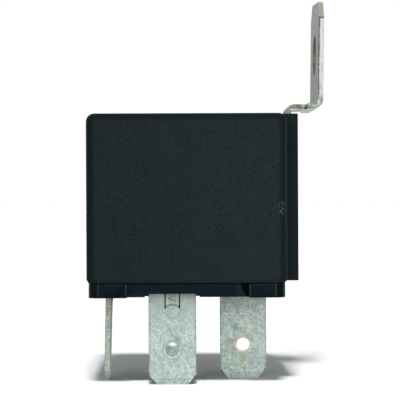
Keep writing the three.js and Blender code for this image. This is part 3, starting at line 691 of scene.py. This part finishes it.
def bracket_marks(tree, position):
    """The bracket's sheared edges and stains, with painted shade and light on its hole, corners and
    underside.
    """
    box, _, near_to, cloud, both, ramp = mark_makers(tree, position)
    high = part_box("mounting_bracket")[1] / MM
    parts = add_node(tree, "SeparateXYZ", {0: position}).outputs
    olive, rust_and_shade, pale = (0.2, 0.2, 0.14), (0.07, 0.056, 0.034), (0.66, 0.66, 0.588)
    ragged = cloud(2.2, 4, 0.65)
    coarse = noise(tree, stretched(tree, position, (1, 1, 0.6)), 1.5, 4, 0.6)

    def lay(*mark):
        found.append(mark)

    # Sheared edges look towards -Y or +Y: the wide plate's, and the narrower tongue's.
    outside = maths(tree, "ABSOLUTE", parts["Y"])
    tongue_side, wide_side = TONGUE_HALF_WIDTH, high.y
    on_plate = ramp(outside, wide_side - 0.08, wide_side - 0.02)
    on_tongue = both(
        box((0, 0, 25), (0, tongue_side + 0.05, 2), 0.03),
        ramp(outside, tongue_side - 0.06, tongue_side - 0.02))
    on_tongue = both(on_tongue, ramp(parts["X"], 16.6, 16.3))
    found = [(on_plate, 0.9, pale)]
    blotches = both(on_plate, ramp(coarse, 0.56, 0.68))
    lay(blotches, 0.6, olive)

    # The bend and the tongue are stretched and stained. The dark spot where the tongue meets the
    # wide plate is painted shade.
    bend = both(on_plate, ramp(parts["Z"], 27.2, 25.6))
    lay(both(bend, ramp(ragged, 0.4, 0.52)), 0.85, olive)
    spot = near_to((16.1, -3.6, 25.1), 0.55, (1, 0.4, 1))
    lay(ramp(spot, 0.3, 0.6), 0.8, rust_and_shade)
    lay(on_tongue, 0.9, (0.3, 0.31, 0.23))
    lay(both(on_tongue, ramp(ragged, 0.5, 0.6)), 0.7, rust_and_shade)

    # A dark burr runs along the inner side of the upright plate's edge.
    lean = math.tan(BRACKET_LEAN)
    inner = add_node(tree, "Math", {0: parts["Z"], 1: lean, 2: 17.56 - BRACKET_SHELF * lean},
                     operation="MULTIPLY_ADD").outputs[0]
    across = maths(tree, "SUBTRACT", parts["X"], inner)
    width = ramp(ragged, 0.3, 0.7, 0.1, 0.24)
    burr = both(on_plate, maths(tree, "LESS_THAN", across, width))
    burr = both(burr, ramp(parts["Z"], 26, 27))
    lay(burr, 0.85, rust_and_shade)

    # The corner cuts are warm and rough. The dark line where they meet the side is painted shadow.
    slope = maths(tree, "ADD", outside, parts["Z"])
    corner = wide_side + high.z - BRACKET_CORNER
    cut = ramp(slope, corner - 0.6, corner - 0.45)
    lay(cut, 0.8, (0.62, 0.54, 0.42))
    lay(both(cut, ramp(ragged, 0.52, 0.64)), 0.5, olive)
    rim = box((0, 0, high.z - 2.75), (0, 0, 0.16), 0.06)
    lay(both(on_plate, rim), 0.8, rust_and_shade)

    # The hole's wall is painted dark as shade.
    wall = near_to((0, 0, BRACKET_HOLE_Z), 1.0, (0, 1 / 2.86, 1 / 2.86))
    wall = ramp(wall, 0.0005, 0.002)
    lay(wall, 0.85, (0.1, 0.085, 0.055))

    # The underside of the shelf is painted light, standing in for light thrown up from the floor.
    under = box((16, 0, 24.89), (1.9, 0, 0.06), 0.05)
    lay(both(under, ramp(outside, 7.08, 7.0)), 0.9, (0.96, 0.97, 0.97))
    return found


class RELAY_OT_bracket(bpy.types.Operator):
    """Cranked bracket of plated sheet steel"""

    bl_idname = "relay.bracket"
    bl_label = "Bracket"

    def execute(self, context):
        sizes, colours = context.scene.relay_sizes, context.scene.relay_colours
        bm = merged_copy("mounting_bracket")
        soften(bm, sizes.metal_radius, sharp(40, 0.25 * MM))
        finish = plated_metal("bracket zinc", colours.zinc, 0.44, patch=1.2, pits=0.6,
                              scratches=0.6, contrast=0.6, layers=bracket_marks)
        add_piece("bracket_plate", bm, finish, STATIC, ["mounting_bracket"], 32)
        return {"FINISHED"}


# The plating differs a little: blade 87's is warmer. Blade 85's is painted lighter, standing
# in for light on it where it lies in shade behind blade 86.
BLADE_TINTS_AND_LIGHT = {"blade_87": (0.93, 0.88, 0.82), "blade_85": (1.15, 1.13, 1.14)}


def coin_edges(bm, along, centre, sizes):
    """Coins a blade: shallow bevels along its long edges and a shallow ring round its hole."""
    across = 1 - along
    half_width, half_thick = BLADE_HALF_WIDTH * MM, BLADE_HALF_THICK * MM
    hole, hole_z = HOLE_RADIUS * MM, HOLE_Z * MM
    depth = 0.07 * MM

    def place(vert):
        offset = vert.co - centre
        return offset[along], offset[across], vert.co.z

    def long_edge(edge):
        (u0, _, z0), (u1, _, z1) = (place(vert) for vert in edge.verts)
        return (abs(z1 - z0) > 3 * MM and min(abs(u0), abs(u1)) > half_width - 0.01 * MM
                and min(z0, z1) > -11 * MM and max(z0, z1) < 0.1 * MM)

    def hole_edge(edge):
        (u0, v0, z0), (u1, v1, z1) = (place(vert) for vert in edge.verts)
        near = all(math.hypot(u, z - hole_z) < hole + 0.02 * MM for u, z in ((u0, z0), (u1, z1)))
        return near and v0 * v1 > 0 and abs(v0 - v1) < 0.01 * MM

    soften(bm, depth, long_edge, 1)
    soften(bm, depth, hole_edge, 1)
    for vert in bm.verts:
        u, v, z = place(vert)
        on_face = abs(abs(v) - half_thick) < 0.005 * MM
        if on_face and abs(abs(u) - (half_width - depth)) < 0.005 * MM and z < 0.05 * MM:
            vert.co[along] -= math.copysign(sizes.coined_band - depth, u)
        away = math.hypot(u, z - hole_z)
        if on_face and abs(away - hole - depth) < 0.01 * MM:
            grow = sizes.coined_ring / away
            vert.co[along] = centre[along] + u * grow
            vert.co.z = hole_z + (z - hole_z) * grow


def close_lance(bm, along, centre, lean):
    """Shortens a lance's window, and widens the lance's back until it meets the window's sides."""
    across = 1 - along
    for vert in bm.verts:
        u, v = vert.co[along] - centre[along], vert.co[across] - centre[across]
        if abs(u) < 1.1 * MM and abs(vert.co.z + LANCE_FOOT * MM) < 0.05 * MM:
            vert.co.z += 0.27 * MM
        middle = lean * LANCE_RISE * MM * (vert.co.z / MM + LANCE_FOOT) / LANCE_LENGTH
        inside = -1.9 * MM < vert.co.z < 1.4 * MM
        at_side = abs(abs(u) - LANCE_HALF_WIDTH * MM) < 0.01 * MM
        if inside and at_side and (v - middle) * lean > 0:
            vert.co[along] = centre[along] + math.copysign(1.045 * MM, u)


def bend_blade(bm, centre):
    """Bends a blade outwards by a fifth of a millimetre at its tip, and twists it a little."""
    for vert in bm.verts:
        down = min(max(-vert.co.z / (BLADE_LENGTH * MM), 0), 1)
        turned = min(down * 6, 1) * (vert.co.y - centre.y + BLADE_HALF_WIDTH * MM) * 0.018
        vert.co.x -= 0.22 * MM * down + turned


def blade_marks(name, centre, along, colours):
    """Stains, tool marks and cut edges of one blade, with painted shade and highlights, each a
    (mask, strength, colour).
    """
    across = 1 - along
    brown, slate, highlight_pale = (0.07, 0.058, 0.038), (0.2, 0.26, 0.27), (0.78, 0.82, 0.78)
    flat = [1, 1, 1]
    flat[across] = 0

    def spot(u, z):
        place = [0.0, 0.0, z]
        place[along] = centre[along] + u
        place[across] = centre[across]
        return place

    def half(u, z):
        size = [0.0, 0.0, z]
        size[along] = u
        return size

    def layers(tree, position):
        box, arc, near_to, cloud, both, ramp = mark_makers(tree, position)
        # Every blade has dull sheared sides, painted brown as their own colour and as painted
        # shade, weakly on blade 87, whose sheared side faces the front. Painted shade and highlight
        # lines run where its coined edges begin.
        outside = add_node(tree, "VectorMath", {0: position, 1: centre}, operation="SUBTRACT")
        outside = from_middle(tree, outside.outputs["Vector"], along)
        patchy_wear_and_shade = ramp(cloud(1.6, 3, 0.6), 0.35, 0.6, 0.3, 1)
        sides = 0.12 if name == "blade_87" else 0.6
        found = [(both(ramp(outside, 2.98, 3.1), patchy_wear_and_shade), sides, brown)]

        def lay(*mark):
            found.append(mark)

        # Painted shade and a painted highlight: a dark line and a pale line where each coined band
        # begins.
        for middle, over, strength in ((2.88, slate, 0.35), (2.76, highlight_pale, 0.3)):
            line = ramp(maths(tree, "ABSOLUTE", maths(tree, "SUBTRACT", outside, middle)),
                        0.03, 0.09, 1, 0)
            lay(both(line, patchy_wear_and_shade), strength, over)
        # Painted shade: a dark line where the tip's bevel begins.
        tip = box(spot(0, -10.96), half(2.45, 0.07), 0.06)
        lay(both(tip, patchy_wear_and_shade), 0.6, slate)
        if name == "blade_30":
            ragged = ramp(cloud(1.1, 4, 0.6), 0.36, 0.6)
            for u, z, reach, scale, over in (
                (-0.4, -8.4, 1.7, 0.9, colours.stain), (-1.5, -6.6, 1.6, 0.8, colours.stain),
                (-1.1, -4.6, 0.8, 1.0, (0.3, 0.32, 0.24)),
                (1.3, -9.2, 1.2, 0.8, (0.36, 0.42, 0.46)),
            ):
                stretch = [1.0, 1.0, scale]
                stretch[across] = 0
                near = near_to(spot(u, z), reach, stretch)
                lay(both(near, ragged), 0.85, over)
            rim = arc(spot(0, HOLE_Z), 1.02, 0.22, flat)
            lay(both(rim, ragged), 0.8, (0.75, 0.68, 0.5))
        else:
            # The lance is sheared on both sides and bent at its foot; a tool left a half moon. Its
            # slits are brown, partly the cut's colour and partly painted shade; painted highlights
            # run along its sides, a painted shadow crosses its top and painted shade marks the bend
            # at its foot.
            for side in (-1, 1):
                # The slits: partly the cut's brown, partly painted shade.
                slit = box(spot(side * 0.97, -0.13), half(0.09, 1.4), 0.05)
                lay(slit, 0.8, brown)
                # Painted highlight along each side of the lance.
                rail_highlight = box(spot(side * 0.68, -0.1), half(0.16, 1.15), 0.06)
                lay(rail_highlight, 0.85, highlight_pale)
            # Painted shadow: a slanted dark mark across the top of the lance.
            for u, z in ((-0.45, -0.28), (-0.15, -0.42), (0.15, -0.55), (0.45, -0.66)):
                slanted_shadow = near_to(spot(u, z), 0.24, flat)
                lay(ramp(slanted_shadow, 0.15, 0.5), 0.85, brown)
            # Painted shade along the bend at the lance's foot.
            inside = box(spot(0, -1.3), half(1.06, 0.5), 0.03)
            foot = arc(spot(0, -2.573), 1.473, 0.24, flat)
            lay(both(foot, inside), 0.92, brown)
            moon = both(arc(spot(0, -1.9), 1.0, 0.2, flat),
                        box(spot(0, -2.7), half(1.3, 0.7), 0.2))
            lay(moon, 0.45, slate)
        if name == "blade_86":
            scratch = both(arc(spot(4.78, -1.25), 6.05, 0.17, flat),
                           box(spot(1.0, -5.33), half(1.8, 1.65), 0.15))
            broken = ramp(cloud(2.4, 4, 0.7), 0.38, 0.58, 0.15, 1)
            lay(both(scratch, broken), 0.6, slate)
            # Painted shade: a dark ring round the hole, where the coined ring dips.
            ring = arc(spot(0, HOLE_Z), 1.27, 0.1, flat)
            lay(ring, 0.5, slate)
            smear = near_to(spot(0.65, -5.65), 0.75, flat)
            lay(smear, 0.6, slate)
            # Painted shade: blade 86 deepens in tone towards its top, under the base.
            height = along_axis(tree, position, "Z")
            lay(ramp(height, -5.5, -0.5), 0.5, [c * 0.7 for c in colours.tin])
        return found

    return layers


class RELAY_OT_blades(bpy.types.Operator):
    """The four blades, with their coined edges, locking holes and lances"""

    bl_idname = "relay.blades"
    bl_label = "Blades"

    def execute(self, context):
        sizes, colours = context.scene.relay_sizes, context.scene.relay_colours
        for node, (name, faces) in BLADES.items():
            bm = merged_copy(node)
            along = 0 if faces == "Y" else 1
            low, high = Vector((1e9,) * 3), Vector((-1e9,) * 3)
            for vert in bm.verts:
                if vert.co.z < -4 * MM:
                    low = Vector(map(min, low, vert.co))
                    high = Vector(map(max, high, vert.co))
            centre = (low + high) / 2
            if name != "blade_30":
                lean = {"blade_87": 1, "blade_86": 1, "blade_85": -1}[name]
                close_lance(bm, along, centre, lean)
            coin_edges(bm, along, centre, sizes)
            if name == "blade_87":
                bend_blade(bm, centre)
            tint = BLADE_TINTS_AND_LIGHT.get(name, (1, 1, 1))
            tin = [c * share for c, share in zip(colours.tin, tint)]
            finish = plated_metal(f"{name} tin", tin,
                                  layers=blade_marks(name, centre / MM, along, colours))
            add_piece(name, bm, finish, STATIC, [node], smooth=25)
        return {"FINISHED"}


class RELAY_OT_magnet(bpy.types.Operator):
    """Iron yoke and core, bobbin, winding and the winding's ends"""

    bl_idname = "relay.magnet"
    bl_label = "Magnet"

    def execute(self, context):
        sizes = context.scene.relay_sizes
        iron = bright_metal("plated iron", (0.56, 0.55, 0.52), 0.34, (1, 0.08, 1))
        turned_iron = bright_metal("turned iron", (0.5, 0.5, 0.48), 0.3, (1, 1, 0.1))
        nylon = moulded_plastic("bobbin nylon", (0.55, 0.5, 0.38), 0.42, 0.3, 0.1, bump=0.1)
        copper = enamelled_wire("enamelled copper", (0.55, 0.17, 0.06))
        for node, name, finish, slot, radius in (
            ("yoke", "yoke_frame", iron, "magnet_iron", 0.12 * MM),
            ("core", "core_pole", turned_iron, "magnet_iron", 0.1 * MM),
            ("bobbin", "bobbin_spool", nylon, "bobbin_nylon", 0.12 * MM),
        ):
            bm = merged_copy(node)
            soften(bm, radius, sharp(50, 0.35 * MM))
            add_piece(name, bm, finish, STATIC, [node], 32)

        # The winding: one line of wire crests, spun round the core's axis.
        low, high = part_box("coil_winding")
        axis = (low + high) / 2
        radius = (high.x - low.x) / 2
        turns = round((high.z - low.z) / sizes.wire_pitch)
        pitch = (high.z - low.z) / turns
        bm = bmesh.new()
        start = bm.verts.new((axis.x + CORE_RADIUS * MM, axis.y, low.z))
        profile = [start]
        crests = [(radius - 0.1 * MM * (i % 2 == 0), low.z + pitch * i / 2)
                  for i in range(2 * turns + 1)]
        for reach, z in crests + [(CORE_RADIUS * MM, high.z)]:
            made = bmesh.ops.extrude_vert_indiv(bm, verts=[profile[-1]])["verts"][0]
            made.co = (axis.x + reach, axis.y, z)
            profile.append(made)
        bmesh.ops.spin(bm, geom=bm.verts[:] + bm.edges[:], cent=axis, axis=(0, 0, 1),
                       angle=2 * math.pi, steps=64, use_merge=True)
        bmesh.ops.remove_doubles(bm, verts=bm.verts, dist=0.002 * MM)
        inner = [edge for edge in bm.edges if edge.is_boundary]
        bmesh.ops.bridge_loops(bm, edges=inner)
        bmesh.ops.recalc_face_normals(bm, faces=bm.faces)
        add_piece("winding", bm, copper, STATIC, ["coil_winding"], 80)
        for node in ("coil_lead_85", "coil_lead_86"):
            paint_node(node, copper)
        return {"FINISHED"}


class RELAY_OT_resistor(bpy.types.Operator):
    """Resistor across the coil, with its leads"""

    bl_idname = "relay.resistor"
    bl_label = "Resistor"

    def execute(self, context):
        paint_node("suppression_resistor", resistor_paint("resistor lacquer"))
        wire = bright_metal("tinned wire", (0.68, 0.69, 0.66), 0.3, (1, 0.1, 1))
        for node in ("resistor_lead_85", "resistor_lead_86"):
            paint_node(node, wire)
        return {"FINISHED"}


class RELAY_OT_contacts(bpy.types.Operator):
    """Armature, contact leaf, contacts, rivets and the stop"""

    bl_idname = "relay.contacts"
    bl_label = "Contacts"

    def execute(self, context):
        colours = context.scene.relay_colours
        iron = bright_metal("armature iron", (0.56, 0.55, 0.52), 0.34, (0.08, 1, 1))
        bronze = bright_metal("spring bronze", (0.66, 0.36, 0.17), 0.28, (0.06, 1, 1))
        silver = bright_metal("contact silver", (0.78, 0.76, 0.7), 0.25, (1, 1, 1))
        steel = bright_metal("rivet steel", (0.55, 0.54, 0.5), 0.35, (1, 1, 1))
        zinc = plated_metal("stop zinc", colours.zinc, 0.4, patch=1.2, pits=0.4, scratches=0.4)

        bm = merged_copy("armature")
        soften(bm, 0.12 * MM, sharp(40, 0.35 * MM))
        add_piece("armature_plate", bm, iron, SWINGING, ["armature"], 32)

        bm = merged_copy("armature_stop")
        soften(bm, 0.1 * MM, sharp(50, 0.35 * MM))
        add_piece("stop_bar", bm, zinc, STATIC, ["armature_stop"], 32)

        # The leaf gets rows of points across its bend.
        bm = merged_copy("contact_spring")
        start, end = Vector((10.1, 0, 16.8)) * MM, Vector((7.4, 0, 20.6)) * MM
        for i in range(1, 12):
            bmesh.ops.bisect_plane(
                bm, geom=bm.verts[:] + bm.edges[:] + bm.faces[:], dist=0.0005 * MM,
                plane_co=start.lerp(end, i / 12), plane_no=end - start)
        leaf = add_piece("contact_leaf", bm, bronze, None, ["contact_spring"], 32)
        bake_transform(leaf)

        for node in ("fixed_contact", "moving_contact"):
            paint_node(node, silver)
        for node in ("terminal_rivet", "spring_rivet_front", "spring_rivet_rear",
                     "armature_rivet_front", "armature_rivet_rear"):
            paint_node(node, steel)
        return {"FINISHED"}


# ---------------------------------------------------------------- stage


def make_floor(level):
    """A wide, plain, pale floor."""
    bm = bmesh.new()
    bmesh.ops.create_circle(bm, cap_ends=True, radius=6, segments=64,
                            matrix=Matrix.Translation((0, 0, level)))
    mesh = bpy.data.meshes.new("floor")
    bm.to_mesh(mesh)
    bm.free()
    floor = bpy.data.objects.new("floor", mesh)
    bpy.context.scene.collection.objects.link(floor)
    material, _, shader, _ = new_material("floor white")
    shader.inputs["Base Color"].default_value = (0.93, 0.93, 0.93, 1)
    shader.inputs["Roughness"].default_value = 1.0
    shader.inputs["Specular IOR Level"].default_value = 0.0
    mesh.materials.append(material)
    floor.visible_glossy = False
    return floor


def light_world(scene):
    """White behind everything, with a dimmer surround that lights the relay."""
    world = bpy.data.worlds.new("studio")
    scene.world = world
    world.use_nodes = True
    tree = world.node_tree
    tree.nodes.clear()
    path = tree.nodes.new("ShaderNodeLightPath")
    way = add_node(tree, "SeparateXYZ", {0: tree.nodes.new("ShaderNodeTexCoord").outputs[0]})
    # What shines in the plastic and metal: a pale backdrop and ceiling, and a dim room.
    behind = remap(tree, way.outputs["Y"], 0.15, 0.6)
    front = remap(tree, way.outputs["Y"], -0.97, -0.6, 1, 0)
    above = remap(tree, way.outputs["Z"], 0.5, 0.85)
    below = remap(tree, way.outputs["Z"], -0.85, -0.5, 1, 0)
    shine = maths(tree, "ADD", times(tree, behind, 0.42),
                  maths(tree, "ADD", times(tree, front, -0.03), 0.1))
    shine = maths(tree, "MAXIMUM", shine, times(tree, above, 0.38))
    shine = maths(tree, "MAXIMUM", shine, times(tree, below, 0.3))
    surround = add_node(tree, "Background", {"Color": (0.94, 0.98, 1, 1), "Strength": 0.26})
    reflected = add_node(tree, "Background", {"Color": (0.96, 0.99, 1, 1), "Strength": shine})
    seen = add_node(tree, "Background", {"Color": (1, 1, 1, 1), "Strength": 1.0})
    glossy = add_node(tree, "MixShader", {0: path.outputs["Is Glossy Ray"],
                                          1: surround.outputs[0], 2: reflected.outputs[0]})
    mixed = add_node(tree, "MixShader", {0: path.outputs["Is Camera Ray"],
                                         1: glossy.outputs[0], 2: seen.outputs[0]})
    output = tree.nodes.new("ShaderNodeOutputWorld")
    tree.links.new(mixed.outputs[0], output.inputs["Surface"])


def add_sun(name, power, softness, turn, side, elevation):
    """A soft light from the front, turned round the relay, that makes no highlights."""
    sun = bpy.data.lights.new(name, "SUN")
    sun.energy = power
    sun.angle = math.radians(softness)
    lamp = bpy.data.objects.new(name, sun)
    bpy.context.scene.collection.objects.link(lamp)
    tilt = Matrix.Rotation(math.radians(90) - elevation, 4, "X")
    lamp.matrix_world = turn @ Matrix.Rotation(side, 4, "Z") @ tilt
    lamp.visible_glossy = False
    return lamp


class RELAY_OT_stage(bpy.types.Operator):
    """Camera, floor and studio light"""

    bl_idname = "relay.stage"
    bl_label = "Stage"

    def execute(self, context):
        scene, stage = context.scene, context.scene.relay_stage
        lens = bpy.data.cameras.new("camera")
        lens.sensor_width, lens.lens = SENSOR, LENS
        lens.clip_start, lens.clip_end = 0.01, 50
        camera = bpy.data.objects.new("camera", lens)
        scene.collection.objects.link(camera)
        turn = Matrix.Rotation(stage.relay_turn, 4, "Z")
        stand = Matrix.Translation((stage.camera_side, -stage.camera_distance, stage.camera_height))
        level = Matrix.Rotation(math.radians(90), 4, "X") @ Matrix.Rotation(stage.roll, 4, "Z")
        camera.matrix_world = turn @ stand @ level
        scene.camera = camera

        floor = make_floor(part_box("terminal_86")[0].z)
        light_world(scene)

        # The key that whitens the floor and draws the shadow lights nothing else.
        only_floor = bpy.data.collections.new("floor only")
        all_but_floor = bpy.data.collections.new("all but the floor")
        for group in (only_floor, all_but_floor):
            group.objects.link(floor)
        all_but_floor.collection_objects[0].light_linking.link_state = "EXCLUDE"
        key = add_sun("key", stage.sun_power, 7, turn, 0, stage.sun_elevation)
        key.light_linking.receiver_collection = only_floor
        fills = [add_sun("top fill", stage.top_power, 35, turn, 0, HIGH_LIGHT),
                 add_sun("back fill", stage.fill_power, 25, turn, math.pi, LOW_LIGHT)]
        for side in (-1, 1):
            fills.append(add_sun("side fill", stage.fill_power, 25, turn,
                                 side * SIDE_LIGHT, LOW_LIGHT))
        for fill in fills:
            fill.light_linking.receiver_collection = all_but_floor
        for side, power in ((-1, stage.panel_power), (1, stage.panel_power * RIGHT_PANEL_SHARE)):
            panel = bpy.data.lights.new("panel", "AREA")
            panel.shape = "RECTANGLE"
            panel.size, panel.size_y = PANEL_WIDTH, PANEL_HEIGHT
            panel.energy = power
            panel.color = (0.86, 0.98, 1)
            lamp = bpy.data.objects.new("panel", panel)
            scene.collection.objects.link(lamp)
            lamp.matrix_world = (
                turn @ Matrix.Rotation(side * stage.panel_angle, 4, "Z")
                @ Matrix.Rotation(PANEL_TILT, 4, "X")
                @ Matrix.Translation((0, -PANEL_AWAY, 0.01))
                @ Matrix.Rotation(math.radians(90), 4, "X"))

        scene.view_settings.view_transform = "Standard"
        scene.view_settings.look = "None"
        return {"FINISHED"}


OPERATORS = (
    RELAY_OT_cover, RELAY_OT_base, RELAY_OT_bracket, RELAY_OT_blades, RELAY_OT_magnet,
    RELAY_OT_resistor, RELAY_OT_contacts, RELAY_OT_stage,
)


class RELAY_PT_panel(bpy.types.Panel):
    """Sizes, colours and build steps of the relay"""

    bl_idname = "RELAY_PT_panel"
    bl_label = "Relay"
    bl_space_type = "VIEW_3D"
    bl_region_type = "UI"
    bl_category = "Relay"

    def draw(self, context):
        for group in ("relay_sizes", "relay_colours", "relay_stage"):
            settings = getattr(context.scene, group)
            box = self.layout.box()
            for name in settings.__annotations__:
                box.prop(settings, name)
        for operator in OPERATORS:
            self.layout.operator(operator.bl_idname)


GROUPS = {"relay_sizes": RelaySizes, "relay_colours": RelayColours, "relay_stage": RelayStage}


def register():
    for group in GROUPS.values():
        bpy.utils.register_class(group)
    for name, group in GROUPS.items():
        setattr(bpy.types.Scene, name, bpy.props.PointerProperty(type=group))
    for item in (*OPERATORS, RELAY_PT_panel):
        bpy.utils.register_class(item)


def unregister():
    for item in reversed((*OPERATORS, RELAY_PT_panel)):
        bpy.utils.unregister_class(item)
    for name, group in GROUPS.items():
        delattr(bpy.types.Scene, name)
        bpy.utils.unregister_class(group)


def main():
    register()
    for operator in OPERATORS:
        section, name = operator.bl_idname.split(".")
        getattr(getattr(bpy.ops, section), name)()


if __name__ == "__main__":
    main()
